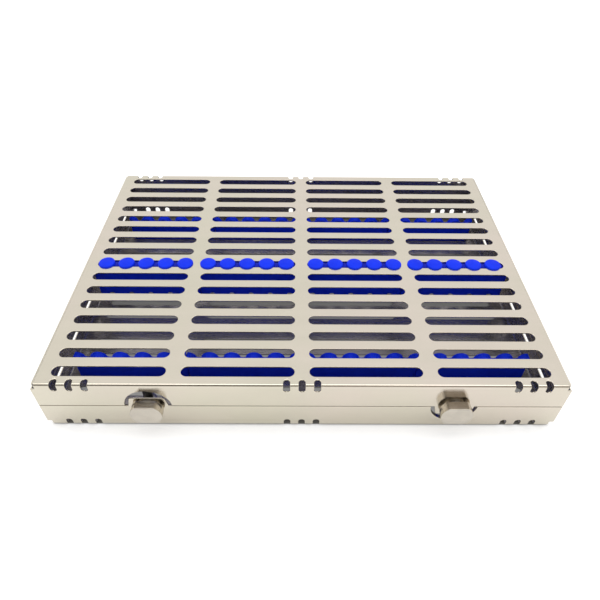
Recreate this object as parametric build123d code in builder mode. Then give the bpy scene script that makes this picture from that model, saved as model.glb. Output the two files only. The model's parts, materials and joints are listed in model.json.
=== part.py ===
from build123d import *
import os

# Dental instrument cassette: two folded, slotted sheet-steel halves of the same stamping,
# hinged at the back, with silicone racks through the slots and two thumb-turn latches in front.
# Millimetres. X runs left to right, Y front to back, Z up. The origin is the middle of the
# footprint (knobs and hinges included), on the surface that the silicone feet stand on.

# ---------------------------------------------------------------- shells
WIDTH = 280.0            # over the side walls
DEPTH = 208.0            # over the front and rear walls
SHELL_HEIGHT = 17.5      # one half, from its flat face to the seam
SHEET = 0.9              # sheet thickness
FRONT_FOLD = 1.5         # outside radius of the front and rear folds
SIDE_FOLD = 2.5          # outside radius of the left and right folds
SEAM_GAP = 0.3           # clearance between the rims of the two halves
CORNER_RELIEF = 2.4      # radius of the relief at each fold corner
CORNER_RELIEF_HEIGHT = 3.4

# ---------------------------------------------------------------- slot field
COLUMNS = 4
ROWS = 16
COLUMN_PITCH = 67.5
ROW_PITCH = 12.6
SLOT_LENGTH = 59.6
SLOT_WIDTH = 6.5

# ---------------------------------------------------------------- vents
VENT_GROUPS = 3
VENT_GROUP_PITCH = 120.0
VENTS_IN_GROUP = 3
VENT_PITCH = 8.0
VENT_WIDTH = 3.5
VENT_ON_FACE = 4.2           # reach onto the flat face
VENT_ON_WALL = 5.0           # reach up the wall
SIDE_SLOT_LENGTH = 14.0
SIDE_SLOT_HEIGHT = 3.0
SIDE_SLOT_LEVEL = 12.0       # slot centre above the flat face
SIDE_SLOT_PITCH = 27.75
SIDE_SLOT_FIRST = 20.5       # nearest slot centre to mid depth
SIDE_SLOTS_EACH_WAY = 3      # from mid depth towards the front and towards the back

# ---------------------------------------------------------------- silicone strips
LOBES = 5
LOBE_PITCH = 12.6
LOBE_DIAMETER = 10.2
LOBE_HEIGHT = 1.5            # how far the feet stand out of the flat face
LOBE_EDGE = 0.7              # rounding of a lobe
NECK_CLEARANCE = 0.1         # between the neck and the slot
FLANGE_WIDTH = 9.0           # inside flange that keeps a strip in its slot
FLANGE_HEIGHT = 1.2
WALL_THICKNESS = 5.4
CREST_PITCH = 13.0           # crests stand between the lobes, valleys over them
CREST_HALF_WIDTH = 5.2
CREST_RISE = 4.2             # from a crest's foot to its top
VALLEY_DIP = 0.3             # rounding between two crests' feet
RACK_HEIGHT = 18.4           # crest above the base's flat face
RACK_REACH = 32.3            # half length
RACK_SHIFT = (1.6, -0.65, 1.8, -0.8)         # racks lie in pairs, left to right
STRIP_HEIGHT = 27.8          # the lid's strips hang lower than the seam
STRIP_REACH = 33.5           # half length
REAR_RACK_ROW = 3            # rows are counted from the back
LID_STRIP_ROW = 9
FRONT_RACK_ROW = 14
LID_LOBE_SHIFT = (1.0, -1.4, 0.7, -2.3)      # hand-fitted strips, left to right

# ---------------------------------------------------------------- latches
LATCH_X = 81.8               # from the middle
CUTOUT_RADIUS = 12.5
LIP_DEPTH = 1.6              # flanged lip behind the cut-out
TONGUE_FOOT = 21.5
TONGUE_TOP = 18.5
TONGUE_RISE = 6.5            # over the seam
TONGUE_CORNER = 1.5
AXLE_RADIUS = 2.5
RUNNING_CLEARANCE = 0.05     # radial, shafts and pins
FIT_CLEARANCE = 0.05         # radial, fixed pieces on the axle
KNOB_RADIUS = 8.4            # a disc with two flats, above and below
KNOB_FLATS = 13.2
KNOB_THICKNESS = 5.0
KNOB_EDGE = 0.4
KNOB_STANDOFF = 1.5
KNOB_BORE_DEPTH = 3.0
WASHER_RADIUS = 5.5
LATCH_FACE_GAP = 0.15        # turning faces to the tongue
CAM_GAP = 2.2                # inner wall face to the cam bar
CAM_THICKNESS = 1.5
CAM_WIDTH = 5.0
CAM_BOSS_RADIUS = 4.2
CAM_SHORT_END = 9.0          # the plain end, seen in the cut-out
HOOK_CLEARANCE = 0.5         # hook to the lip, and hook to the wall
HOOK_WIDTH = 1.5             # radial width of the hook
CAM_SQUARE = 3.4
STUD_RADIUS = 1.45
STUD_LENGTH = 2.6
NUT_FLATS = 5.5
NUT_THICKNESS = 2.2
SPRING_OUTER_RADIUS = 4.6
SPRING_THICKNESS = 0.4

# ---------------------------------------------------------------- hinges
HINGE_X = 80.0
HINGE_WIDTH = 36.0
HINGE_GAP = 0.3              # between knuckles, and from knuckle to wall
KNUCKLE_RADIUS = 2.2
PIN_RADIUS = 1.1
PIN_HEAD_RADIUS = 1.7
PIN_HEAD_LENGTH = 0.8
LEAF_THICKNESS = 0.9
LEAF_HEIGHT = 11.0
LEAF_CORNER = 2.0
RIVET_SPACING = 24.0
RIVET_LEVEL = 6.6            # from the seam
RIVET_RADIUS = 1.0
RIVET_HEAD_RADIUS = 2.1
RIVET_HEAD_HEIGHT = 0.8
RIVET_HEAD_EDGE = 0.5

# ---------------------------------------------------------------- places worked out from them
KNOB_PROUD = KNOB_STANDOFF + KNOB_THICKNESS
HINGE_PROUD = HINGE_GAP + 2 * KNUCKLE_RADIUS
FRONT_Y = KNOB_PROUD - (DEPTH + KNOB_PROUD + HINGE_PROUD) / 2
BACK_Y = FRONT_Y + DEPTH
MID_Y = (FRONT_Y + BACK_Y) / 2
FACE_Z = LOBE_HEIGHT                     # flat face of the base
SEAM_Z = FACE_Z + SHELL_HEIGHT
RIM_Z = SEAM_Z - SEAM_GAP / 2            # top of the base's walls
INNER_FRONT_Y = FRONT_Y + SHEET
HINGE_Y = BACK_Y + HINGE_GAP + KNUCKLE_RADIUS
KNUCKLE_LENGTH = (HINGE_WIDTH - 2 * HINGE_GAP) / 3
CAM_Y = INNER_FRONT_Y + CAM_GAP          # face of the cam bar that looks at the wall
LID_FLIP = Location((0, 0, 2 * SEAM_Z), (0, 180, 0))     # base place to lid place


def centred(count, pitch):
    """Offsets of evenly spaced things from the middle of their row."""
    return [(place - (count - 1) / 2) * pitch for place in range(count)]


def row_y(row):
    """Depth of a slot row, counted from the back."""
    return MID_Y + ((ROWS + 1) / 2 - row) * ROW_PITCH


def plane_facing_front(y):
    """Upright plane at depth y: sketch x is X, sketch y is Z, and it faces the front."""
    return Plane.XZ.offset(-y)


def save(builder, node):
    """Label a finished piece and write its STEP file."""
    builder.part.label = node
    export_step(builder.part, f"parts/{node}.step")


os.makedirs("parts", exist_ok=True)


# ================================================================ shells
def folded_block(inset):
    """The solid inside the sheet's outer surface, or inside its inner one with inset = SHEET."""
    bottom = FACE_Z + inset
    height = RIM_Z - bottom
    with BuildPart() as block:
        with BuildSketch(plane_facing_front(MID_Y)):
            with Locations((0, bottom + height / 2)):
                across = Rectangle(WIDTH - 2 * inset, height)
            fillet(across.vertices().group_by(Axis.Y)[0], SIDE_FOLD - inset)
        extrude(amount=DEPTH / 2 - inset, both=True)
        with BuildSketch(Plane.YZ):
            with Locations((MID_Y, bottom + height / 2)):
                along = Rectangle(DEPTH - 2 * inset, height)
            fillet(along.vertices().group_by(Axis.Y)[0], FRONT_FOLD - inset)
        extrude(amount=WIDTH / 2, both=True, mode=Mode.INTERSECT)
    return block.part


column_x = centred(COLUMNS, COLUMN_PITCH)
vent_x = [group + vent for group in centred(VENT_GROUPS, VENT_GROUP_PITCH)
          for vent in centred(VENTS_IN_GROUP, VENT_PITCH)]
side_slot_y = [way * (SIDE_SLOT_FIRST + step * SIDE_SLOT_PITCH)
               for way in (-1, 1) for step in range(SIDE_SLOTS_EACH_WAY)]

with BuildPart() as base_shell:
    add(folded_block(0))
    add(folded_block(SHEET), mode=Mode.SUBTRACT)

    # slot field in the flat face
    with BuildSketch(Plane.XY.offset(FACE_Z)):
        with Locations((0, MID_Y)):
            with GridLocations(COLUMN_PITCH, ROW_PITCH, COLUMNS, ROWS):
                SlotOverall(SLOT_LENGTH, SLOT_WIDTH)
    extrude(amount=SHEET, mode=Mode.SUBTRACT)

    # vents punched across the front and rear folds
    for wall_y, inward in ((FRONT_Y, -1), (BACK_Y, 1)):
        with BuildSketch(Plane.XY.offset(FACE_Z)):
            with Locations([(x, wall_y) for x in vent_x]):
                SlotOverall(2 * VENT_ON_FACE, VENT_WIDTH, rotation=90)
        extrude(amount=FRONT_FOLD, mode=Mode.SUBTRACT)
        with BuildSketch(plane_facing_front(wall_y)):
            with Locations([(x, FACE_Z) for x in vent_x]):
                SlotOverall(2 * VENT_ON_WALL, VENT_WIDTH, rotation=90)
        extrude(amount=inward * FRONT_FOLD, mode=Mode.SUBTRACT)

    # long vents in the side walls
    with BuildSketch(Plane.YZ):
        with Locations([(MID_Y + y, FACE_Z + SIDE_SLOT_LEVEL) for y in side_slot_y]):
            SlotOverall(SIDE_SLOT_LENGTH, SIDE_SLOT_HEIGHT)
    extrude(amount=WIDTH / 2, both=True, mode=Mode.SUBTRACT)

    # relief at the four fold corners
    with BuildSketch(Plane.XY.offset(FACE_Z)):
        with Locations([(x, y) for x in (-WIDTH / 2, WIDTH / 2) for y in (FRONT_Y, BACK_Y)]):
            Circle(CORNER_RELIEF)
    extrude(amount=CORNER_RELIEF_HEIGHT, mode=Mode.SUBTRACT)

    # tongue that carries the latch, left of the middle
    with BuildSketch(plane_facing_front(FRONT_Y)):
        with BuildLine():
            Polyline(
                (-LATCH_X - TONGUE_FOOT / 2, RIM_Z - SHEET),
                (-LATCH_X - TONGUE_FOOT / 2, RIM_Z),
                (-LATCH_X - TONGUE_TOP / 2, SEAM_Z + TONGUE_RISE),
                (-LATCH_X + TONGUE_TOP / 2, SEAM_Z + TONGUE_RISE),
                (-LATCH_X + TONGUE_FOOT / 2, RIM_Z),
                (-LATCH_X + TONGUE_FOOT / 2, RIM_Z - SHEET),
                close=True,
            )
        tongue = make_face()
        fillet(tongue.vertices().group_by(Axis.Y)[-1], TONGUE_CORNER)
    extrude(amount=-SHEET)
    with BuildSketch(plane_facing_front(FRONT_Y)):
        with Locations((-LATCH_X, SEAM_Z)):
            Circle(AXLE_RADIUS + RUNNING_CLEARANCE)
    extrude(amount=-SHEET, mode=Mode.SUBTRACT)

    # flanged cut-out for the other half's tongue, right of the middle
    with BuildSketch(plane_facing_front(FRONT_Y)):
        with Locations((LATCH_X, SEAM_Z)):
            Circle(CUTOUT_RADIUS + SHEET)
        with Locations((LATCH_X, RIM_Z + CUTOUT_RADIUS)):
            Rectangle(4 * CUTOUT_RADIUS, 2 * CUTOUT_RADIUS, mode=Mode.SUBTRACT)
    extrude(amount=-(SHEET + LIP_DEPTH))
    with BuildSketch(plane_facing_front(FRONT_Y)):
        with Locations((LATCH_X, SEAM_Z)):
            Circle(CUTOUT_RADIUS)
    extrude(amount=-(SHEET + LIP_DEPTH), mode=Mode.SUBTRACT)

    # rivet holes for the hinge leaves
    with BuildSketch(plane_facing_front(BACK_Y)):
        for hinge_x in (-HINGE_X, HINGE_X):
            with Locations((hinge_x, SEAM_Z - RIVET_LEVEL)):
                with GridLocations(RIVET_SPACING, 1, 2, 1):
                    Circle(RIVET_RADIUS + FIT_CLEARANCE)
    extrude(amount=SHEET, mode=Mode.SUBTRACT)
save(base_shell, "base_shell")

# the lid is the same stamping, turned over about the depth axis
with BuildPart() as lid_shell:
    with Locations(LID_FLIP):
        add(base_shell.part)
save(lid_shell, "lid_shell")


# ================================================================ silicone strips
def silicone_strip(middle_x, depth_y, crest_height, reach, lobe_shift=0.0, wall_shift=0.0):
    """A strip in its slot in the base: feet below the flat face, wavy wall inside."""
    wall_x = middle_x + wall_shift
    crest_z = FACE_Z + crest_height
    valley_z = crest_z - CREST_RISE
    flange_z = FACE_Z + SHEET
    lobe_places = [(middle_x + lobe_shift + offset, depth_y) for offset in centred(LOBES, LOBE_PITCH)]
    crests = [wall_x + offset for offset in centred(LOBES + 1, CREST_PITCH)]
    wave_start = crests[0] - CREST_HALF_WIDTH
    wave_end = crests[-1] + CREST_HALF_WIDTH
    with BuildPart() as strip:
        with BuildSketch(Plane.XY.offset(FACE_Z)):
            with Locations(lobe_places):
                Circle(LOBE_DIAMETER / 2)
        extrude(amount=-LOBE_HEIGHT)
        fillet(strip.edges().group_by(Axis.Z)[0], LOBE_EDGE)
        with BuildSketch(Plane.XY.offset(FACE_Z)):
            with Locations((middle_x, depth_y)):
                SlotOverall(SLOT_LENGTH - 2 * NECK_CLEARANCE, SLOT_WIDTH - 2 * NECK_CLEARANCE)
        extrude(amount=SHEET)
        with BuildSketch(Plane.XY.offset(flange_z)):
            with Locations((wall_x, depth_y)):
                SlotOverall(2 * reach, FLANGE_WIDTH)
        extrude(amount=FLANGE_HEIGHT)
        with BuildSketch(plane_facing_front(depth_y)):
            # the row of crests, full width, then cut to the wall's ends
            with BuildLine():
                Polyline((wave_start, valley_z), (wave_start, flange_z),
                         (wave_end, flange_z), (wave_end, valley_z))
                for x in crests:
                    left_foot = (x - CREST_HALF_WIDTH, valley_z)
                    right_foot = (x + CREST_HALF_WIDTH, valley_z)
                    ThreePointArc(left_foot, (x, crest_z), right_foot)
                    if x != crests[-1]:
                        next_foot = (x + CREST_PITCH - CREST_HALF_WIDTH, valley_z)
                        ThreePointArc(right_foot, (x + CREST_PITCH / 2, valley_z - VALLEY_DIP), next_foot)
            make_face()
            # the end lines run on above the crests, clear of the arcs' tops
            over_z = crest_z + CREST_RISE
            with BuildLine():
                Polyline((wall_x - reach, flange_z), (wall_x + reach, flange_z),
                         (wall_x + reach, over_z), (wall_x - reach, over_z), close=True)
            make_face(mode=Mode.INTERSECT)
        extrude(amount=WALL_THICKNESS / 2, both=True)
    return strip


for number, x in enumerate(column_x, start=1):
    for place, row in (("rear", REAR_RACK_ROW), ("front", FRONT_RACK_ROW)):
        rack = silicone_strip(x, row_y(row), RACK_HEIGHT, RACK_REACH,
                              wall_shift=RACK_SHIFT[number - 1])
        save(rack, f"{place}_rack_{number}")
    hanging_strip = silicone_strip(-x, row_y(LID_STRIP_ROW), STRIP_HEIGHT, STRIP_REACH,
                                   lobe_shift=-LID_LOBE_SHIFT[number - 1])
    with BuildPart() as lid_strip:
        with Locations(LID_FLIP):
            add(hanging_strip.part)
    save(lid_strip, f"lid_strip_{number}")


# ================================================================ left latch, carried by the base
knob_back_y = FRONT_Y - KNOB_STANDOFF
axle_head_y = knob_back_y - KNOB_BORE_DEPTH + FIT_CLEARANCE

with BuildPart() as latch_knob_left:
    with BuildSketch(plane_facing_front(knob_back_y)):
        with Locations((-LATCH_X, SEAM_Z)):
            Circle(KNOB_RADIUS)
            Rectangle(2 * KNOB_RADIUS, KNOB_FLATS, mode=Mode.INTERSECT)
    extrude(amount=KNOB_THICKNESS)
    fillet(latch_knob_left.edges().group_by(Axis.Y)[0], KNOB_EDGE)
    with BuildSketch(plane_facing_front(knob_back_y)):
        with Locations((-LATCH_X, SEAM_Z)):
            Circle(AXLE_RADIUS + FIT_CLEARANCE)
    extrude(amount=KNOB_BORE_DEPTH, mode=Mode.SUBTRACT)

with BuildPart() as latch_axle_left:
    with BuildSketch(plane_facing_front(CAM_Y)):
        with Locations((-LATCH_X, SEAM_Z)):
            Circle(AXLE_RADIUS)
    extrude(amount=CAM_Y - axle_head_y)
    with BuildSketch(plane_facing_front(CAM_Y)):
        with Locations((-LATCH_X, SEAM_Z)):
            Rectangle(CAM_SQUARE, CAM_SQUARE)
    extrude(amount=-CAM_THICKNESS)
    with BuildSketch(plane_facing_front(CAM_Y + CAM_THICKNESS)):
        with Locations((-LATCH_X, SEAM_Z)):
            Circle(STUD_RADIUS)
    extrude(amount=-STUD_LENGTH)

with BuildPart() as latch_washer_left:
    with BuildSketch(plane_facing_front(knob_back_y)):
        with Locations((-LATCH_X, SEAM_Z)):
            Circle(WASHER_RADIUS)
            Circle(AXLE_RADIUS + FIT_CLEARANCE, mode=Mode.SUBTRACT)
    extrude(amount=-(KNOB_STANDOFF - LATCH_FACE_GAP))

with BuildPart() as latch_spring_left:
    spring_front_y = INNER_FRONT_Y + LATCH_FACE_GAP
    spring_bore = AXLE_RADIUS + 2 * FIT_CLEARANCE
    with BuildSketch(Plane.XY.offset(SEAM_Z)):
        with BuildLine():
            Polyline(
                (-LATCH_X + SPRING_OUTER_RADIUS, spring_front_y),
                (-LATCH_X + SPRING_OUTER_RADIUS, spring_front_y + SPRING_THICKNESS),
                (-LATCH_X + spring_bore, CAM_Y),
                (-LATCH_X + spring_bore, CAM_Y - SPRING_THICKNESS),
                close=True,
            )
        make_face()
    revolve(axis=Axis((-LATCH_X, 0, SEAM_Z), (0, 1, 0)))

with BuildPart() as latch_cam_left:
    hook_inner = CUTOUT_RADIUS + SHEET + HOOK_CLEARANCE
    hook_outer = hook_inner + HOOK_WIDTH
    with BuildSketch(plane_facing_front(CAM_Y)):
        with Locations((-LATCH_X, SEAM_Z)):
            Circle(CAM_BOSS_RADIUS)
        with Locations((-LATCH_X, SEAM_Z + (CAM_SHORT_END - hook_outer) / 2)):
            Rectangle(CAM_WIDTH, CAM_SHORT_END + hook_outer)
        with Locations((-LATCH_X, SEAM_Z)):
            Rectangle(CAM_SQUARE + 2 * FIT_CLEARANCE, CAM_SQUARE + 2 * FIT_CLEARANCE, mode=Mode.SUBTRACT)
    extrude(amount=-CAM_THICKNESS)
    with BuildSketch(plane_facing_front(CAM_Y)):
        with Locations((-LATCH_X, SEAM_Z - hook_inner - HOOK_WIDTH / 2)):
            Rectangle(CAM_WIDTH, HOOK_WIDTH)
    extrude(amount=CAM_GAP - HOOK_CLEARANCE)

with BuildPart() as latch_nut_left:
    with BuildSketch(plane_facing_front(CAM_Y + CAM_THICKNESS)):
        with Locations((-LATCH_X, SEAM_Z)):
            RegularPolygon(NUT_FLATS / 2, 6, major_radius=False)
            Circle(STUD_RADIUS + FIT_CLEARANCE, mode=Mode.SUBTRACT)
    extrude(amount=-NUT_THICKNESS)

# the right latch is the left one turned over with its half, and is carried by the lid
left_latch = {
    "latch_knob": latch_knob_left,
    "latch_axle": latch_axle_left,
    "latch_washer": latch_washer_left,
    "latch_spring": latch_spring_left,
    "latch_cam": latch_cam_left,
    "latch_nut": latch_nut_left,
}
for piece, left_piece in left_latch.items():
    save(left_piece, f"{piece}_left")
    with BuildPart() as right_piece:
        with Locations(LID_FLIP):
            add(left_piece.part)
    save(right_piece, f"{piece}_right")


# ================================================================ hinges
def hinge_leaf(hinge_x, knuckle_offsets, direction):
    """A leaf on the rear wall: direction is -1 down onto the base, 1 up onto the lid."""
    notch = KNUCKLE_RADIUS + HINGE_GAP
    cleared = [offset for offset in (-1, 0, 1) if offset not in knuckle_offsets]
    with BuildPart() as leaf:
        with BuildSketch(plane_facing_front(BACK_Y)):
            with Locations((hinge_x, SEAM_Z + direction * LEAF_HEIGHT / 2)):
                plate = Rectangle(HINGE_WIDTH, LEAF_HEIGHT)
            far_corners = plate.vertices().group_by(Axis.Y)[0 if direction < 0 else -1]
            fillet(far_corners, LEAF_CORNER)
            for offset in cleared:
                with Locations((hinge_x + offset * (KNUCKLE_LENGTH + HINGE_GAP), SEAM_Z)):
                    Rectangle(KNUCKLE_LENGTH + 2 * HINGE_GAP, 2 * notch, mode=Mode.SUBTRACT)
            with Locations((hinge_x, SEAM_Z + direction * RIVET_LEVEL)):
                with GridLocations(RIVET_SPACING, 1, 2, 1):
                    Circle(RIVET_RADIUS + FIT_CLEARANCE, mode=Mode.SUBTRACT)
        extrude(amount=-LEAF_THICKNESS)
        for offset in knuckle_offsets:
            with BuildSketch(Plane.YZ.offset(hinge_x + offset * (KNUCKLE_LENGTH + HINGE_GAP))):
                with Locations((HINGE_Y, SEAM_Z)):
                    Circle(KNUCKLE_RADIUS)
            extrude(amount=KNUCKLE_LENGTH / 2, both=True)
        with BuildSketch(Plane.YZ.offset(hinge_x)):
            with Locations((HINGE_Y, SEAM_Z)):
                Circle(PIN_RADIUS + RUNNING_CLEARANCE)
        extrude(amount=HINGE_WIDTH / 2, both=True, mode=Mode.SUBTRACT)
    return leaf


def hinge_pin(hinge_x):
    """A pin through the three knuckles, with a head at each end."""
    with BuildPart() as pin:
        with BuildSketch(Plane.YZ.offset(hinge_x)):
            with Locations((HINGE_Y, SEAM_Z)):
                Circle(PIN_RADIUS)
        extrude(amount=HINGE_WIDTH / 2 + FIT_CLEARANCE, both=True)
        for side in (-1, 1):
            with BuildSketch(Plane.YZ.offset(hinge_x + side * (HINGE_WIDTH / 2 + FIT_CLEARANCE))):
                with Locations((HINGE_Y, SEAM_Z)):
                    Circle(PIN_HEAD_RADIUS)
            extrude(amount=side * PIN_HEAD_LENGTH)
    return pin


def hinge_rivets(direction):
    """The rivets of both leaves on one half, domed outside and flat inside."""
    places = [(side * HINGE_X + end * RIVET_SPACING / 2, SEAM_Z + direction * RIVET_LEVEL)
              for side in (-1, 1) for end in (-1, 1)]
    with BuildPart() as rivets:
        with BuildSketch(plane_facing_front(BACK_Y + LEAF_THICKNESS)):
            with Locations(places):
                Circle(RIVET_HEAD_RADIUS)
        extrude(amount=-RIVET_HEAD_HEIGHT)
        fillet(rivets.edges().group_by(Axis.Y)[-1], RIVET_HEAD_EDGE)
        with BuildSketch(plane_facing_front(BACK_Y + LEAF_THICKNESS)):
            with Locations(places):
                Circle(RIVET_RADIUS)
        extrude(amount=LEAF_THICKNESS + SHEET)
        with BuildSketch(plane_facing_front(BACK_Y - SHEET)):
            with Locations(places):
                Circle(RIVET_HEAD_RADIUS)
        extrude(amount=RIVET_HEAD_HEIGHT)
    return rivets


for side_name, hinge_x in (("left", -HINGE_X), ("right", HINGE_X)):
    save(hinge_leaf(hinge_x, (-1, 1), -1), f"hinge_leaf_base_{side_name}")
    save(hinge_leaf(hinge_x, (0,), 1), f"hinge_leaf_lid_{side_name}")
    save(hinge_pin(hinge_x), f"hinge_pin_{side_name}")
save(hinge_rivets(-1), "hinge_rivets_base")
save(hinge_rivets(1), "hinge_rivets_lid")
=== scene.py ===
"""Dental instrument cassette: steel finishes, rounded sheet edges, silicone strips and a pale stage."""
import json
import math

import bmesh
import bpy
from bpy.props import FloatProperty, FloatVectorProperty, IntProperty, PointerProperty
from mathutils import Matrix, Vector


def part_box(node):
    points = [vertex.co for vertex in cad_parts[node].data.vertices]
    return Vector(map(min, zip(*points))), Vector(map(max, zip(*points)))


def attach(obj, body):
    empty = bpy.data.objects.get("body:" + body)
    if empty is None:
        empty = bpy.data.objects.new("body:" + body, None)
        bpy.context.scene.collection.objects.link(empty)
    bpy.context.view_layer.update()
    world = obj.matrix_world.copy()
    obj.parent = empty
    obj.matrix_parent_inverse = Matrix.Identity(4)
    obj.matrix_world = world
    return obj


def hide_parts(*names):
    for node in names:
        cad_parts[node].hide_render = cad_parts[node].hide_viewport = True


bl_info = {
    "name": "Instrument cassette",
    "version": (1, 0, 0),
    "blender": (4, 5, 0),
    "location": "View3D > Sidebar > Cassette",
    "description": "Dresses the folded steel cassette, moulds its silicone strips and lights it",
    "category": "Object",
}

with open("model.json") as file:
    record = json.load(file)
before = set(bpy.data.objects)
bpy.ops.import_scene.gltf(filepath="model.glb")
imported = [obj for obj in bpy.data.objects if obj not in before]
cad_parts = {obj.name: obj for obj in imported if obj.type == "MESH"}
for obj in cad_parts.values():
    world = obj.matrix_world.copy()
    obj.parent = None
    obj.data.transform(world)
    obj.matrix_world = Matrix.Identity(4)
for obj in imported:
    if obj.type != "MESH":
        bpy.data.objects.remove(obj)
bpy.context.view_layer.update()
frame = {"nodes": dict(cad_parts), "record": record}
NODES = frame["nodes"]
BODIES = frame["record"]["behaviour"]["bodies"]
BODY_OF = {node: body for body, nodes in BODIES.items() for node in nodes}
MM = 0.001
SHEET = 0.9 * MM
FINISH_PREFIX = "finish_"

# How the merged copy of a sheet is read.
MERGE_DISTANCE = 0.002 * MM
FLAT_ANGLE = math.radians(0.5)
CUT_ANGLE = math.radians(50.0)
INNER_DEPTH = 0.6 * SHEET       # an inner face lies at least this far under its panel's outside
FACING_IN = 0.3                 # and its normal has at least this share towards the inside

# Steps of the moulded strips' rounds.
CREST_STEPS = 14
VALLEY_STEPS = 5
RIM_SEGMENTS = 3
RIM_ANGLE = math.radians(60.0)
BAR_SEGMENTS = 24
CROWN_STEPS = ((0.15, 0.7), (0.15, 0.3))    # shares of the neck's width to inset by, and of its crown to rise
LOBE_RINGS = (0.45, 0.75)                   # shares of a head's flat radius
LOBE_EDGE_STEPS = 4
LOBE_SEGMENTS = 40
TOUCH = 0.01 * MM               # two places closer than this are one
SKIN_DEPTH = 0.05 * MM          # a slice of a solid is taken this far off its face


# ================================================================ settings
class ShellSettings(bpy.types.PropertyGroup):
    """Sizes and finish of the two folded halves."""

    edge_radius: FloatProperty(
        name="Edge radius", description="Rounding of the sheet's punched edges",
        default=0.28 * MM, min=0.0, unit="LENGTH")
    edge_segments: IntProperty(
        name="Edge segments", description="Steps in that rounding", default=2, min=1, max=4)
    tint: FloatVectorProperty(
        name="Tint", description="Colour of the satin sheet", subtype="COLOR", size=3,
        default=(0.73, 0.69, 0.565), min=0.0, max=1.0)
    warm_tint: FloatVectorProperty(
        name="Warm tint", description="Colour of its warmer patches", subtype="COLOR", size=3,
        default=(0.77, 0.69, 0.60), min=0.0, max=1.0)
    # Inner tint: the inside's duller steel, darkened further with painted shade.
    inner_tint_and_shade: FloatVectorProperty(
        name="Inner tint", description="Colour of the dull inner surface", subtype="COLOR", size=3,
        default=(0.42, 0.39, 0.395), min=0.0, max=1.0)
    flat_weight: IntProperty(
        name="Flat weight", description="Pull of the large faces on the shading of the rounded edges",
        default=80, min=1, max=100)
    polish: FloatProperty(
        name="Roughness", description="Roughness of the polished sheet", subtype="FACTOR",
        default=0.17, min=0.0, max=1.0)


class SiliconeSettings(bpy.types.PropertyGroup):
    """Sizes and colour of the moulded strips."""

    lobes: IntProperty(name="Lobes", description="Lobes on one strip", default=5, min=1)
    lobe_pitch: FloatProperty(
        name="Lobe pitch", description="Distance from lobe to lobe", default=12.6 * MM, unit="LENGTH")
    lobe_radius: FloatProperty(
        name="Lobe radius", description="Radius of a lobe's head", default=5.1 * MM, unit="LENGTH")
    lobe_edge: FloatProperty(
        name="Lobe edge", description="Rounding of a lobe's rim", default=0.75 * MM, unit="LENGTH")
    lobe_height: FloatProperty(
        name="Lobe height", description="How far a lobe stands out of the flat face", default=1.5 * MM,
        unit="LENGTH")
    lobe_crown: FloatProperty(
        name="Lobe crown", description="Rise of a lobe's middle over its rim",
        default=0.35 * MM, unit="LENGTH")
    slot_pitch: FloatProperty(
        name="Slot pitch", description="Distance from slot to slot along a row",
        default=67.5 * MM, unit="LENGTH")
    neck_length: FloatProperty(
        name="Neck length", description="Length of the neck in the slot", default=59.3 * MM, unit="LENGTH")
    neck_width: FloatProperty(
        name="Neck width", description="Width of the neck in the slot", default=4.6 * MM, unit="LENGTH")
    neck_sunk: FloatProperty(
        name="Neck depth", description="How far the neck's sides lie under the flat face", default=0.80 * MM,
        unit="LENGTH")
    neck_crown: FloatProperty(
        name="Neck crown", description="Rise of the rounded neck over its sides",
        default=0.5 * MM, unit="LENGTH")
    flange_width: FloatProperty(
        name="Flange width", description="Width of the flange behind the slot",
        default=9.0 * MM, unit="LENGTH")
    flange_height: FloatProperty(
        name="Flange height", description="Thickness of that flange", default=1.2 * MM, unit="LENGTH")
    wall: FloatProperty(
        name="Wall", description="Thickness of the wavy wall", default=5.4 * MM, unit="LENGTH")
    wall_edge: FloatProperty(
        name="Wall edge", description="Rounding along the wall's wavy edge", default=0.7 * MM, unit="LENGTH")
    end_clearance: FloatProperty(
        name="End clearance", description="Room left for that rounding at the wall's ends", default=1.3 * MM,
        unit="LENGTH")
    crest_pitch: FloatProperty(
        name="Crest pitch", description="Distance from crest to crest", default=13.0 * MM, unit="LENGTH")
    crest_half: FloatProperty(
        name="Crest half width", description="From a crest's middle to its foot",
        default=5.2 * MM, unit="LENGTH")
    crest_rise: FloatProperty(
        name="Crest rise", description="Height of a crest over its foot", default=4.2 * MM, unit="LENGTH")
    valley_dip: FloatProperty(
        name="Valley dip", description="Depth of a valley under the crests' feet",
        default=0.3 * MM, unit="LENGTH")
    colour: FloatVectorProperty(
        name="Colour", description="Colour of the silicone", subtype="COLOR", size=3,
        default=(0.002, 0.034, 0.86), min=0.0, max=1.0)
    deep_colour: FloatVectorProperty(
        name="Deep colour", description="Its darker clouding", subtype="COLOR", size=3,
        default=(0.001, 0.022, 0.70), min=0.0, max=1.0)
    # Neck colour: the same silicone painted darker as shade, deep in the slot.
    neck_shade_colour: FloatVectorProperty(
        name="Neck colour", description="Colour of the neck and flange, deep in the slot",
        subtype="COLOR", size=3,
        default=(0.001, 0.012, 0.42), min=0.0, max=1.0)


class FittingSettings(bpy.types.PropertyGroup):
    """Finish of the latches and hinges."""

    knob_tint: FloatVectorProperty(
        name="Knob tint", description="Colour of the turned knobs", subtype="COLOR", size=3,
        default=(0.64, 0.59, 0.51), min=0.0, max=1.0)
    fitting_tint: FloatVectorProperty(
        name="Fitting tint", description="Colour of leaves, pins, cams and nuts", subtype="COLOR", size=3,
        default=(0.55, 0.535, 0.50), min=0.0, max=1.0)
    spring_tint: FloatVectorProperty(
        name="Spring tint", description="Colour of the cone springs", subtype="COLOR", size=3,
        default=(0.36, 0.35, 0.33), min=0.0, max=1.0)
    fitting_roughness: FloatProperty(
        name="Fitting roughness", description="Roughness of leaves, pins, cams and nuts", default=0.30,
        min=0.0, max=1.0)
    spring_roughness: FloatProperty(
        name="Spring roughness", description="Roughness of the cone springs", default=0.34, min=0.0, max=1.0)


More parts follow.
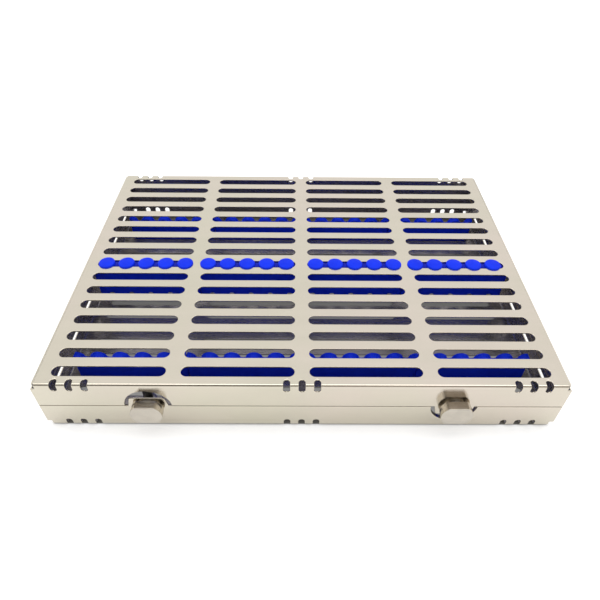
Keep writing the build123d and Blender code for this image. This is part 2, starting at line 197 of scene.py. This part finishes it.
class StageSettings(bpy.types.PropertyGroup):
    """Camera, lamps and floor."""

    camera_x: FloatProperty(name="Camera X", description="Camera place", default=-3.41 * MM, unit="LENGTH")
    camera_y: FloatProperty(name="Camera Y", description="Camera place", default=-264.89 * MM, unit="LENGTH")
    camera_z: FloatProperty(name="Camera Z", description="Camera place", default=251.43 * MM, unit="LENGTH")
    pitch: FloatProperty(
        name="Pitch", description="Camera's tilt below the horizon",
        default=math.radians(43.58), subtype="ANGLE")
    yaw: FloatProperty(
        name="Yaw", description="Camera's turn to the left", default=math.radians(-0.62), subtype="ANGLE")
    roll: FloatProperty(
        name="Roll", description="Camera's roll", default=math.radians(-0.70), subtype="ANGLE")
    focal_pixels: FloatProperty(
        name="Focal length", description="In pixels of a square picture", default=519.0, min=50.0)
    picture_pixels: FloatProperty(
        name="Picture width", description="In pixels", default=600.0, min=50.0)
    sensor: FloatProperty(name="Sensor", description="Its width in millimetres", default=36.0, min=1.0)
    clip: FloatVectorProperty(
        name="Clip", description="Nearest and farthest place that the camera sees", size=2,
        default=(0.01, 20.0), unit="LENGTH")
    overhead: FloatProperty(
        name="Overhead lamp", description="Power of the softbox above, in watts", default=2.6, min=0.0)
    surround: FloatProperty(
        name="Surround", description="Strength of the white surround", default=0.92, min=0.0)
    floor_colour: FloatVectorProperty(
        name="Floor", description="Colour of the floor", subtype="COLOR", size=3,
        default=(0.93, 0.93, 0.93), min=0.0, max=1.0)
    # Covered floor: a painted shadow under the object.
    painted_shadow_colour: FloatVectorProperty(
        name="Covered floor", description="Colour of the floor that the object covers",
        subtype="COLOR", size=3,
        default=(0.20, 0.19, 0.17), min=0.0, max=1.0)
    # Covered lift and the covered settings below: a painted glow on the painted shadow, for the camera only,
    # fading from front to back.
    painted_glow: FloatProperty(
        name="Covered lift", description="Whitening of the covered floor seen through the slots",
        default=0.20,
        min=0.0)
    floor_lift: FloatProperty(
        name="Floor lift", description="Whitening of the open floor as the camera sees it",
        default=0.30, min=0.0)
    mirrored_lift: FloatProperty(
        name="Mirrored lift", description="Whitening of the open floor in reflections", default=0.06, min=0.0)
    # Clear X and Y also mark the edge of the painted shadow under the object.
    clear_x: FloatVectorProperty(
        name="Clear X", description="Where the whitening begins and is whole, from the middle", size=2,
        default=(137.0 * MM, 139.0 * MM), unit="LENGTH")
    clear_y: FloatVectorProperty(
        name="Clear Y", description="Where the whitening begins and is whole, from the middle", size=2,
        default=(101.3 * MM, 102.3 * MM), unit="LENGTH")
    covered_x: FloatVectorProperty(
        name="Covered X", description="Where the covered floor's whitening begins and is whole", size=2,
        default=(134.0 * MM, 130.0 * MM), unit="LENGTH")
    covered_y: FloatVectorProperty(
        name="Covered Y", description="Where the covered floor's whitening begins and is whole", size=2,
        default=(97.0 * MM, 93.0 * MM), unit="LENGTH")
    covered_depth: FloatVectorProperty(
        name="Covered depth", description="Along Y, where that whitening is whole and where it has faded",
        size=2,
        default=(-42.0 * MM, -12.0 * MM), unit="LENGTH")
    covered_rest: FloatProperty(
        name="Covered rest", description="Share of that whitening left beyond",
        default=0.45, min=0.0, max=1.0)
    flag_colour: FloatVectorProperty(
        name="Flag", description="Colour of the dark screen behind the camera, left", subtype="COLOR", size=3,
        default=(0.15, 0.132, 0.115), min=0.0, max=1.0)
    flag_right: FloatVectorProperty(
        name="Flag right", description="Colour of that screen, right", subtype="COLOR", size=3,
        default=(0.37, 0.335, 0.295), min=0.0, max=1.0)
    flag_grade: FloatVectorProperty(
        name="Flag grade", description="Along X, where the left colour ends and the right one begins",
        size=2, default=(-120.0 * MM, 180.0 * MM), unit="LENGTH")
    floor_half: FloatProperty(name="Floor size", description="Half its width", default=3.0, unit="LENGTH")
    screen_half: FloatProperty(
        name="Screen size", description="Half the height of the dark screen", default=0.42, unit="LENGTH")
    screen_stretch: FloatProperty(
        name="Screen stretch", description="Its width over its height", default=2.4, min=0.1)
    screen_place: FloatVectorProperty(
        name="Screen place", description="Middle of the screen", size=3, default=(0.0, -0.62, 0.62),
        unit="LENGTH")
    screen_tilt: FloatProperty(
        name="Screen tilt", description="Its turn about X from lying flat", default=math.radians(48.0),
        subtype="ANGLE")
    softbox_size: FloatVectorProperty(
        name="Softbox size", description="Width and depth of the lamp above", size=2, default=(1.5, 0.45),
        unit="LENGTH")
    softbox_place: FloatVectorProperty(
        name="Softbox place", description="Middle of that lamp", size=3, default=(0.0, 0.02, 0.9),
        unit="LENGTH")


SETTINGS = {
    "cassette_shells": ShellSettings,
    "cassette_silicone": SiliconeSettings,
    "cassette_fittings": FittingSettings,
    "cassette_stage": StageSettings,
}


# ================================================================ node helpers
class Finish:
    """A material under construction: adds nodes and joins them."""

    def __init__(self, name):
        self.material = bpy.data.materials.new(FINISH_PREFIX + name)
        self.material.use_nodes = True
        self.tree = self.material.node_tree
        self.shader = self.tree.nodes["Principled BSDF"]
        self.place = self.add("ShaderNodeTexCoord").outputs["Object"]

    def add(self, kind, **inputs):
        """A node with its inputs set by name or, for a link, joined."""
        node = self.tree.nodes.new(kind)
        for name, value in inputs.items():
            self.set(node.inputs[name.replace("_", " ")], value)
        return node

    def set(self, socket, value):
        if isinstance(value, bpy.types.NodeSocket):
            self.tree.links.new(value, socket)
        else:
            socket.default_value = value

    def noise(self, scale, stretch=(1.0, 1.0, 1.0), detail=3.0, roughness=0.5, shift=(0.0, 0.0, 0.0)):
        """Noise over object coordinates, stretched along an axis by a small factor there."""
        mapping = self.add("ShaderNodeMapping", Vector=self.place, Scale=stretch, Location=shift)
        texture = self.add("ShaderNodeTexNoise", Vector=mapping.outputs["Vector"], Scale=scale, Detail=detail,
                           Roughness=roughness)
        return texture.outputs["Fac"]

    def spread(self, value, low, high, start=0.35, end=0.65):
        """A value moved from the start-end range to the low-high one."""
        node = self.add("ShaderNodeMapRange", Value=value, From_Min=start, From_Max=end, To_Min=low,
                        To_Max=high)
        return node.outputs["Result"]

    def mix(self, factor, first, second):
        """Two colours mixed by a value."""
        node = self.tree.nodes.new("ShaderNodeMix")
        node.data_type = "RGBA"
        self.set(node.inputs["Factor"], factor)
        for socket, colour in ((node.inputs[6], first), (node.inputs[7], second)):
            self.set(socket, colour if isinstance(colour, bpy.types.NodeSocket) else (*colour, 1.0))
        return node.outputs[2]

    def sum(self, operation, *values):
        """One math node's result."""
        node = self.tree.nodes.new("ShaderNodeMath")
        node.operation = operation
        for socket, value in zip(node.inputs, values):
            self.set(socket, value)
        return node.outputs[0]

    def bump(self, height, strength, distance, under=None):
        """A bump, over another one if given."""
        node = self.add("ShaderNodeBump", Height=height, Strength=strength, Distance=distance)
        if under is not None:
            self.set(node.inputs["Normal"], under)
        return node.outputs["Normal"]


def shade(colour, share):
    """A darker colour of the same hue."""
    return tuple(channel * share for channel in colour)


# ================================================================ finishes
def sheet_steel(settings):
    """Polished stainless sheet: cloudy tints, a fine grain along the width and a slight waviness."""
    finish = Finish("sheet_steel")
    shader = finish.shader
    shader.inputs["Metallic"].default_value = 1.0
    clouds = finish.spread(finish.noise(scale=14.0, detail=2.0), low=0.0, high=1.0)
    colour = finish.mix(clouds, settings.tint, settings.warm_tint)
    smears = finish.noise(scale=30.0, stretch=(0.6, 2.2, 1.4), detail=4.0, roughness=0.6)
    colour = finish.mix(finish.spread(smears, low=0.0, high=0.30), colour, shade(settings.tint, 0.9))
    finish.set(shader.inputs["Base Color"], colour)

    grain = finish.noise(scale=420.0, stretch=(0.05, 1.0, 1.0), detail=5.0, roughness=0.7)
    handling = finish.noise(scale=55.0, detail=5.0, roughness=0.62, shift=(0.3, 0.1, 0.0))
    wear = finish.spread(handling, low=settings.polish - 0.03, high=settings.polish + 0.06)
    lines = finish.spread(grain, low=-0.03, high=0.03)
    finish.set(shader.inputs["Roughness"], finish.sum("ADD", lines, wear))

    waviness = finish.bump(finish.noise(scale=16.0, detail=1.0), strength=0.35, distance=0.4 * MM)
    brushed = finish.bump(grain, strength=0.12, distance=0.01 * MM, under=waviness)
    finish.set(shader.inputs["Normal"], brushed)
    return finish.material


def mill_steel_and_painted_shade(settings):
    """The sheet's inner surface: duller, with a coarse rolling grain, and darker by painted shade of the dim
    inside.
    """
    finish = Finish("mill_steel_and_painted_shade")
    shader = finish.shader
    shader.inputs["Metallic"].default_value = 0.75
    clouds = finish.spread(finish.noise(scale=24.0, detail=3.0), low=0.0, high=1.0)
    darker = shade(settings.inner_tint_and_shade, 0.8)
    finish.set(shader.inputs["Base Color"], finish.mix(clouds, settings.inner_tint_and_shade, darker))
    grain = finish.noise(scale=300.0, stretch=(0.06, 1.0, 1.0), detail=4.0, roughness=0.7)
    finish.set(shader.inputs["Roughness"], finish.spread(grain, low=0.22, high=0.32))
    finish.set(shader.inputs["Normal"], finish.bump(grain, strength=0.07, distance=0.01 * MM))
    return finish.material


def silicone(name, colour, deep_colour):
    """Matt royal-blue silicone with a soft moulded skin."""
    finish = Finish(name)
    shader = finish.shader
    shader.inputs["Specular IOR Level"].default_value = 0.14
    clouding = finish.spread(finish.noise(scale=110.0, detail=4.0, roughness=0.6), low=0.0, high=0.55)
    finish.set(shader.inputs["Base Color"], finish.mix(clouding, colour, deep_colour))
    skin = finish.noise(scale=1500.0, detail=4.0, roughness=0.6)
    finish.set(shader.inputs["Roughness"], finish.spread(skin, low=0.38, high=0.56))
    soft = finish.bump(finish.noise(scale=160.0, detail=2.0), strength=0.20, distance=0.15 * MM)
    finish.set(shader.inputs["Normal"], finish.bump(skin, strength=0.22, distance=0.03 * MM, under=soft))
    return finish.material


def turned_steel(settings):
    """Polished knob steel with the faint lines of its turning and milling."""
    finish = Finish("knob_steel")
    shader = finish.shader
    shader.inputs["Metallic"].default_value = 1.0
    clouds = finish.spread(finish.noise(scale=180.0, detail=3.0), low=0.0, high=1.0)
    darker = shade(settings.knob_tint, 0.9)
    finish.set(shader.inputs["Base Color"], finish.mix(clouds, settings.knob_tint, darker))
    lines = finish.noise(scale=1800.0, stretch=(0.08, 1.0, 1.0), detail=4.0, roughness=0.65)
    finish.set(shader.inputs["Roughness"], finish.spread(lines, low=0.15, high=0.25))
    finish.set(shader.inputs["Normal"], finish.bump(lines, strength=0.15, distance=0.01 * MM))
    return finish.material


def plain_steel(name, tint, roughness):
    """Tumbled stainless for the small fittings."""
    finish = Finish(name)
    shader = finish.shader
    shader.inputs["Metallic"].default_value = 1.0
    clouds = finish.spread(finish.noise(scale=220.0, detail=4.0, roughness=0.6), low=0.0, high=1.0)
    finish.set(shader.inputs["Base Color"], finish.mix(clouds, tint, shade(tint, 0.82)))
    tumbled = finish.noise(scale=1400.0, detail=5.0, roughness=0.65)
    finish.set(shader.inputs["Roughness"],
               finish.spread(tumbled, low=roughness - 0.06, high=roughness + 0.08))
    finish.set(shader.inputs["Normal"], finish.bump(tumbled, strength=0.18, distance=0.015 * MM))
    return finish.material


def floor_and_painted_shadow(settings):
    """Pale floor that reads white to the camera, with a painted shadow under the object and a painted glow on
    it, strongest at the front.
    """
    finish = Finish("floor_and_painted_shadow")
    shader = finish.shader
    shader.inputs["Roughness"].default_value = 0.9
    shader.inputs["Specular IOR Level"].default_value = 0.0
    place = finish.add("ShaderNodeSeparateXYZ", Vector=finish.place).outputs
    from_middle_x = finish.sum("ABSOLUTE", place["X"])
    from_middle_y = finish.sum("ABSOLUTE", place["Y"])
    beside = finish.spread(from_middle_x, 0.0, 1.0, *settings.clear_x)
    before = finish.spread(from_middle_y, 0.0, 1.0, *settings.clear_y)
    outside = finish.sum("MAXIMUM", beside, before)
    mottle = finish.spread(finish.noise(scale=6.0, detail=3.0), low=0.0, high=1.0)
    paint = finish.mix(mottle, settings.floor_colour, shade(settings.floor_colour, 0.985))
    # Inside the clear edges the floor takes the painted shadow colour.
    finish.set(shader.inputs["Base Color"], finish.mix(outside, settings.painted_shadow_colour, paint))

    # A painted glow on the painted shadow, for camera rays only, strongest at the front and fading towards
    # the back.
    under = finish.sum("MULTIPLY",
                       finish.spread(from_middle_x, 0.0, 1.0, *settings.covered_x),
                       finish.spread(from_middle_y, 0.0, 1.0, *settings.covered_y))
    nearer = finish.spread(place["Y"], 1.0, settings.covered_rest, *settings.covered_depth)
    under = finish.sum("MULTIPLY", under, nearer)
    rays = finish.add("ShaderNodeLightPath").outputs
    open_lift = finish.sum("ADD", finish.sum("MULTIPLY", rays["Is Camera Ray"], settings.floor_lift),
                           finish.sum("MULTIPLY", rays["Is Glossy Ray"], settings.mirrored_lift))
    seen_lift = finish.sum("MULTIPLY", rays["Is Camera Ray"], settings.painted_glow)
    painted_glow = finish.sum("MULTIPLY", seen_lift, under)
    shader.inputs["Emission Color"].default_value = (1.0, 1.0, 1.0, 1.0)
    finish.set(shader.inputs["Emission Strength"],
               finish.sum("ADD", finish.sum("MULTIPLY", open_lift, outside), painted_glow))
    return finish.material


def dress(node, *materials):
    """Gives a piece or a CAD node its materials."""
    node.data.materials.clear()
    for material in materials:
        node.data.materials.append(material)


def shared(name, maker, *values):
    """The finish of that name, made on first use."""
    return bpy.data.materials.get(FINISH_PREFIX + name) or maker(*values)


# ================================================================ mesh helpers
def finish_piece(bm, name, body, slot, *materials, sharp_angle=35.0):
    """Turns a finished bmesh into a smooth-shaded piece that rides on a body."""
    mesh = bpy.data.meshes.new(name)
    bm.to_mesh(mesh)
    bm.free()
    mesh.shade_smooth()
    mesh.set_sharp_from_angle(angle=math.radians(sharp_angle))
    piece = bpy.data.objects.new(name, mesh)
    bpy.context.scene.collection.objects.link(piece)
    for material in materials:
        mesh.materials.append(material)
    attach(piece, body)
    return piece


def reach(node, low, high):
    """Lowest and highest corner of the part of a CAD node between two heights."""
    points = [v.co for v in NODES[node].data.vertices if low <= v.co.z <= high]
    return (Vector([min(p[axis] for p in points) for axis in range(3)]),
            Vector([max(p[axis] for p in points) for axis in range(3)]))


def sweep_arc(bm, vert, centre, angle, steps):
    """Spins one vertex about an axis along the depth, and returns the arc's last vertex."""
    made = bmesh.ops.spin(bm, geom=[vert], cent=centre, axis=(0.0, 1.0, 0.0), dvec=(0.0, 0.0, 0.0),
                          angle=angle, steps=steps, use_duplicate=False)
    return next(item for item in made["geom_last"] if isinstance(item, bmesh.types.BMVert))


def line_to(bm, vert, place):
    """A straight edge from a vertex to a new one."""
    end = bm.verts.new(place)
    bm.edges.new((vert, end))
    return end


# ================================================================ shells
def rounded_shell(node, radius, segments):
    """The folded half with its punched and cut edges rounded: a merged copy of the sheet, bevelled."""
    bm = bmesh.new()
    bm.from_mesh(NODES[node].data)
    bmesh.ops.remove_doubles(bm, verts=bm.verts, dist=MERGE_DISTANCE)
    bmesh.ops.dissolve_limit(bm, angle_limit=FLAT_ANGLE, verts=bm.verts, edges=bm.edges)
    cut_edges = [edge for edge in bm.edges if edge.calc_face_angle(0.0) > CUT_ANGLE]
    bmesh.ops.bevel(bm, geom=cut_edges, offset=radius, affect="EDGES", segments=segments, profile=0.5,
                    material=-1, clamp_overlap=False, loop_slide=True)
    bmesh.ops.triangulate(bm, faces=[face for face in bm.faces if len(face.verts) > 4])
    mark_inner_faces(bm, node)
    return bm


def mark_inner_faces(bm, node):
    """Gives the faces on the inside of the half's five panels the second material."""
    low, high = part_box(node)
    panels = [((1, 0, 0), low), ((-1, 0, 0), high), ((0, 1, 0), low), ((0, -1, 0), high)]
    panels.append(((0, 0, 1), low) if node.startswith("base") else ((0, 0, -1), high))
    bm.normal_update()
    for face in bm.faces:
        depth, facing_in = min(((face.calc_center_median() - corner).dot(inward), face.normal.dot(inward))
                               for inward, corner in ((Vector(panel), corner) for panel, corner in panels))
        # The second material is the inner steel, whose darker colour is painted shade.
        face.material_index = int(depth > INNER_DEPTH and facing_in > FACING_IN)


class CASSETTE_OT_shells(bpy.types.Operator):
    """Rounds the sheet edges of both halves and gives them their polish"""

    bl_idname = "cassette.shells"
    bl_label = "Shells"

    def execute(self, context):
        settings = context.scene.cassette_shells
        outer = shared("sheet_steel", sheet_steel, settings)
        # The inner faces get the inner steel, darkened with painted shade.
        inner = shared("mill_steel_and_painted_shade", mill_steel_and_painted_shade, settings)
        for half in ("base", "lid"):
            bm = rounded_shell(f"{half}_shell", settings.edge_radius, settings.edge_segments)
            piece = finish_piece(bm, f"{half}_sheet", half, "sheet_steel", outer, inner)
            weighted = piece.modifiers.new("weighted", "WEIGHTED_NORMAL")
            weighted.weight = settings.flat_weight
            weighted.keep_sharp = True
            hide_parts(f"{half}_shell")
        return {"FINISHED"}


# ================================================================ silicone strips
def wavy_wall(bm, settings, ends, depth, foot_z, crest_z, up):
    """The wall with its row of crests: a wave of arcs spun from one vertex, closed and extruded."""
    half, rise, dip = settings.crest_half, settings.crest_rise, settings.valley_dip
    pitch, last = settings.crest_pitch, settings.lobes
    crest_radius = (half * half + rise * rise) / (2 * rise)
    crest_angle = math.asin(half / crest_radius)
    gap = pitch / 2 - half
    valley_radius = (gap * gap + dip * dip) / (2 * dip)
    valley_angle = 4 * math.atan2(dip, gap)
    valley_z = crest_z - up * rise
    face_y = depth - settings.wall / 2
    start = (ends[0] + ends[1]) / 2 - last / 2 * pitch
    end_angle = math.asin((start - ends[0]) / crest_radius)

    first = bm.verts.new((ends[0], face_y, foot_z))
    vert = line_to(bm, first, (ends[0], face_y, crest_z - up * crest_radius * (1 - math.cos(end_angle))))
    for crest in range(last + 1):
        x = start + crest * pitch
        angle = (end_angle if crest == 0 else crest_angle) + (end_angle if crest == last else crest_angle)
        vert = sweep_arc(bm, vert, (x, face_y, crest_z - up * crest_radius), up * angle, CREST_STEPS)
        if crest < last:
            vert = sweep_arc(bm, vert, (x + pitch / 2, face_y, valley_z - up * (dip - valley_radius)),
                             -up * valley_angle, VALLEY_STEPS)
    vert = line_to(bm, vert, (ends[1], face_y, foot_z))
    bm.edges.new((vert, first))
    crowded = [v for v in bm.verts
               if TOUCH < min(v.co.x - ends[0], ends[1] - v.co.x) < settings.end_clearance]
    bmesh.ops.dissolve_verts(bm, verts=crowded)
    outline = bmesh.ops.contextual_create(bm, geom=list(bm.edges))["faces"]
    grown = bmesh.ops.extrude_face_region(bm, geom=outline)
    moved = [item for item in grown["geom"] if isinstance(item, bmesh.types.BMVert)]
    bmesh.ops.translate(bm, verts=moved, vec=(0.0, settings.wall, 0.0))
    bmesh.ops.recalc_face_normals(bm, faces=bm.faces)
    rims = [edge for edge in bm.edges
            if edge.calc_face_angle(0.0) > RIM_ANGLE
            and abs(edge.verts[0].co.y - edge.verts[1].co.y) < MM
            and max(up * vert.co.z for vert in edge.verts) > up * foot_z + MM]
    bmesh.ops.bevel(bm, geom=rims, offset=settings.wall_edge, affect="EDGES", segments=RIM_SEGMENTS,
                    profile=0.5, material=-1, clamp_overlap=False)


def bar(bm, ends, depth, width, low, high):
    """A bar with round ends along the slot: a stretched disc, raised. Returns its far face."""
    radius = width / 2
    made = bmesh.ops.create_circle(bm, cap_ends=False, radius=radius, segments=BAR_SEGMENTS)["verts"]
    for vert in made:
        vert.co.x += ends[1] - radius if vert.co.x > TOUCH else ends[0] + radius
        vert.co.y += depth
        vert.co.z = low
    edges = [edge for edge in bm.edges if edge.verts[0] in set(made)]
    face = bmesh.ops.contextual_create(bm, geom=edges)["faces"]
    grown = bmesh.ops.extrude_face_region(bm, geom=face)["geom"]
    bmesh.ops.translate(bm, verts=[item for item in grown if isinstance(item, bmesh.types.BMVert)],
                        vec=(0.0, 0.0, high - low))
    return next(item for item in grown if isinstance(item, bmesh.types.BMFace))


def crown(bm, face, steps):
    """Domes a face: each step insets it and moves what is left of it along Z."""
    for inset, rise in steps:
        bmesh.ops.inset_region(bm, faces=[face], thickness=inset, depth=0.0, use_even_offset=True)
        bmesh.ops.translate(bm, verts=list(face.verts), vec=(0.0, 0.0, rise))


def lobe_head(bm, settings, x, depth, seat, tip, up):
    """One lobe's head: a crowned disc, its profile spun about the lobe's own axis."""
    radius, edge, crown = settings.lobe_radius, settings.lobe_edge, settings.lobe_crown
    rim = tip - up * crown
    profile = [bm.verts.new((x, depth, tip))]
    for share in LOBE_RINGS:
        reach_x = share * (radius - edge)
        sag = crown * (reach_x / (radius - edge)) ** 2
        profile.append(bm.verts.new((x + reach_x, depth, tip - up * sag)))
    for step in range(LOBE_EDGE_STEPS + 1):
        turn = math.radians(90.0) * step / LOBE_EDGE_STEPS
        profile.append(bm.verts.new((x + radius - edge + edge * math.sin(turn), depth,
                                     rim - up * edge * (1 - math.cos(turn)))))
    profile.append(bm.verts.new((x + radius, depth, seat)))
    profile.append(bm.verts.new((x, depth, seat)))
    edges = [bm.edges.new(pair) for pair in zip(profile, profile[1:])]
    bmesh.ops.spin(bm, geom=profile + edges, cent=(x, depth, 0.0), axis=(0.0, 0.0, 1.0), dvec=(0.0, 0.0, 0.0),
                   angle=math.radians(360.0), steps=LOBE_SEGMENTS, use_merge=True, use_duplicate=False)


def strip_mesh(node, settings):
    """A whole strip where the CAD node is: heads, neck, flange and wavy wall."""
    low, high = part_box(node)
    up = -1.0 if node.startswith("lid") else 1.0
    tip, crest = (high.z, low.z) if up < 0 else (low.z, high.z)
    flat_face = tip + up * settings.lobe_height
    inner_face = flat_face + up * SHEET
    heads = reach(node, *sorted((tip, flat_face - up * SKIN_DEPTH)))
    wall = reach(node, *sorted((inner_face + up * SKIN_DEPTH, crest)))
    ends = (wall[0].x, wall[1].x)
    depth = (low.y + high.y) / 2
    heads_x = (heads[0].x + heads[1].x) / 2
    slot_x = (math.floor(sum(ends) / 2 / settings.slot_pitch) + 0.5) * settings.slot_pitch

    strip = bmesh.new()
    wavy_wall(strip, settings, ends, depth, inner_face, crest, up)
    flange_end = inner_face + up * settings.flange_height
    bar(strip, ends, depth, settings.flange_width, inner_face, flange_end)
    neck_ends = (slot_x - settings.neck_length / 2, slot_x + settings.neck_length / 2)
    neck = bar(strip, neck_ends, depth, settings.neck_width, inner_face, flat_face + up * settings.neck_sunk)
    crown(strip, neck, [(inset * settings.neck_width, -up * rise * settings.neck_crown)
                        for inset, rise in CROWN_STEPS])
    for face in strip.faces:
        # Neck and flange take the second material: the silicone painted darker as shade in the slot.
        face.material_index = int(max(up * vert.co.z for vert in face.verts) < up * flange_end + TOUCH)
    for lobe in range(settings.lobes):
        x = heads_x + (lobe - (settings.lobes - 1) / 2) * settings.lobe_pitch
        lobe_head(strip, settings, x, depth, flat_face + up * settings.neck_sunk, tip, -up)
    bmesh.ops.recalc_face_normals(strip, faces=strip.faces)
    return strip


class CASSETTE_OT_strips(bpy.types.Operator):
    """Moulds the silicone racks of the base and the silicone strips of the lid"""

    bl_idname = "cassette.strips"
    bl_label = "Silicone strips"

    def execute(self, context):
        settings = context.scene.cassette_silicone
        skin = shared("silicone", silicone, "silicone", settings.colour, settings.deep_colour)
        # The neck's material is the silicone painted darker as shade.
        neck = shared("silicone_neck", silicone, "silicone_neck", settings.neck_shade_colour,
                      shade(settings.neck_shade_colour, 0.7))
        for node in sorted(n for n in NODES if "rack" in n or "strip" in n):
            piece = finish_piece(strip_mesh(node, settings), f"silicone_{node}", BODY_OF[node], "silicone",
                                 skin, neck)
            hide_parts(node)
        return {"FINISHED"}


# ================================================================ fittings
class CASSETTE_OT_fittings(bpy.types.Operator):
    """Gives the latches and hinges their steel"""

    bl_idname = "cassette.fittings"
    bl_label = "Latches and hinges"

    def execute(self, context):
        settings = context.scene.cassette_fittings
        knob = shared("knob_steel", turned_steel, settings)
        fitting = shared("fitting_steel", plain_steel, "fitting_steel", settings.fitting_tint,
                         settings.fitting_roughness)
        spring = shared("spring_steel", plain_steel, "spring_steel", settings.spring_tint,
                        settings.spring_roughness)
        for name, node in NODES.items():
            if "shell" in name or "rack" in name or "strip" in name:
                continue
            if "knob" in name:
                dress(node, knob)
            elif "spring" in name:
                dress(node, spring)
            else:
                dress(node, fitting)
        return {"FINISHED"}


# ================================================================ stage
def place_camera(settings):
    """The camera at the photograph's place and angle."""
    data = bpy.data.cameras.new("camera")
    data.sensor_width = settings.sensor
    data.lens = data.sensor_width * settings.focal_pixels / settings.picture_pixels
    data.clip_start, data.clip_end = settings.clip
    camera = bpy.data.objects.new("camera", data)
    bpy.context.scene.collection.objects.link(camera)
    right = Vector((math.cos(settings.yaw), math.sin(settings.yaw), 0.0))
    level = Vector((-math.sin(settings.yaw), math.cos(settings.yaw), 0.0))
    forward = level * math.cos(settings.pitch) - Vector((0.0, 0.0, math.sin(settings.pitch)))
    down = forward.cross(right)
    picture_right = right * math.cos(settings.roll) + down * math.sin(settings.roll)
    picture_down = down * math.cos(settings.roll) - right * math.sin(settings.roll)
    turn = Matrix((picture_right, -picture_down, -forward)).transposed()
    place = Matrix.Translation((settings.camera_x, settings.camera_y, settings.camera_z))
    camera.matrix_world = place @ turn.to_4x4()
    bpy.context.scene.camera = camera


def stage_plane(name, size, place, turn, material):
    """A flat panel of the stage."""
    bm = bmesh.new()
    bmesh.ops.create_grid(bm, x_segments=1, y_segments=1, size=size)
    bmesh.ops.transform(bm, matrix=Matrix.Translation(place) @ turn, verts=bm.verts)
    mesh = bpy.data.meshes.new(name)
    bm.to_mesh(mesh)
    bm.free()
    panel = bpy.data.objects.new(name, mesh)
    bpy.context.scene.collection.objects.link(panel)
    dress(panel, material)
    return panel


def flag_cloth(settings):
    """Dark cloth of the screen that stands behind the camera, paler to the right."""
    finish = Finish("flag_cloth")
    place = finish.add("ShaderNodeSeparateXYZ", Vector=finish.place).outputs
    along = finish.spread(place["X"], 0.0, 1.0, *settings.flag_grade)
    graded = finish.mix(along, settings.flag_colour, settings.flag_right)
    weave = finish.spread(finish.noise(scale=60.0, detail=2.0), low=0.0, high=0.12)
    finish.set(finish.shader.inputs["Base Color"], finish.mix(weave, graded, (1.0, 1.0, 1.0)))
    finish.shader.inputs["Roughness"].default_value = 0.9
    return finish.material


def surround(settings):
    """White all round: full where the camera sees it, a little less in reflections and as fill light."""
    world = bpy.data.worlds.new("surround")
    world.use_nodes = True
    bpy.context.scene.world = world
    nodes, links = world.node_tree.nodes, world.node_tree.links
    background = nodes["Background"]
    background.inputs["Color"].default_value = (1.0, 1.0, 1.0, 1.0)
    rays = nodes.new("ShaderNodeLightPath")
    strength = nodes.new("ShaderNodeMapRange")
    links.new(rays.outputs["Is Camera Ray"], strength.inputs["Value"])
    strength.inputs["To Min"].default_value = settings.surround
    strength.inputs["To Max"].default_value = 1.0
    links.new(strength.outputs["Result"], background.inputs["Strength"])


class CASSETTE_OT_stage(bpy.types.Operator):
    """Sets the camera, the floor, the dark screen, the softbox and the white surround"""

    bl_idname = "cassette.stage"
    bl_label = "Stage"

    def execute(self, context):
        settings = context.scene.cassette_stage
        place_camera(settings)
        paint = shared("floor_and_painted_shadow", floor_and_painted_shadow, settings)
        stage_plane("floor", settings.floor_half, (0.0, 0.0, 0.0), Matrix.Identity(4), paint)
        tilt = Matrix.Rotation(settings.screen_tilt, 4, "X")
        stretch = Matrix.Diagonal((settings.screen_stretch, 1.0, 1.0, 1.0))
        screen = stage_plane("screen", settings.screen_half, settings.screen_place, tilt @ stretch,
                             shared("flag_cloth", flag_cloth, settings))
        screen.visible_camera = False
        screen.visible_diffuse = False
        screen.visible_shadow = False
        softbox = bpy.data.lights.new("softbox", "AREA")
        softbox.shape = "RECTANGLE"
        softbox.size, softbox.size_y = settings.softbox_size
        softbox.energy = settings.overhead
        lamp = bpy.data.objects.new("softbox", softbox)
        lamp.location = settings.softbox_place
        bpy.context.scene.collection.objects.link(lamp)
        surround(settings)
        context.scene.view_settings.view_transform = "Standard"
        return {"FINISHED"}


# ================================================================ panel and registration
OPERATORS = (CASSETTE_OT_shells, CASSETTE_OT_strips, CASSETTE_OT_fittings, CASSETTE_OT_stage)


class CASSETTE_PT_panel(bpy.types.Panel):
    """Lists the cassette's operators and settings"""

    bl_idname = "CASSETTE_PT_panel"
    bl_label = "Instrument cassette"
    bl_space_type = "VIEW_3D"
    bl_region_type = "UI"
    bl_category = "Cassette"

    def draw(self, context):
        for operator in OPERATORS:
            self.layout.operator(operator.bl_idname)
        for group, settings in SETTINGS.items():
            box = self.layout.box()
            for name in settings.__annotations__:
                box.prop(getattr(context.scene, group), name)


CLASSES = (*SETTINGS.values(), *OPERATORS, CASSETTE_PT_panel)


def register():
    for cls in CLASSES:
        bpy.utils.register_class(cls)
    for group, settings in SETTINGS.items():
        setattr(bpy.types.Scene, group, PointerProperty(type=settings))


def unregister():
    for group in SETTINGS:
        delattr(bpy.types.Scene, group)
    for cls in reversed(CLASSES):
        bpy.utils.unregister_class(cls)


def main():
    register()
    bpy.ops.cassette.shells()
    bpy.ops.cassette.strips()
    bpy.ops.cassette.fittings()
    bpy.ops.cassette.stage()


if __name__ == "__main__":
    main()
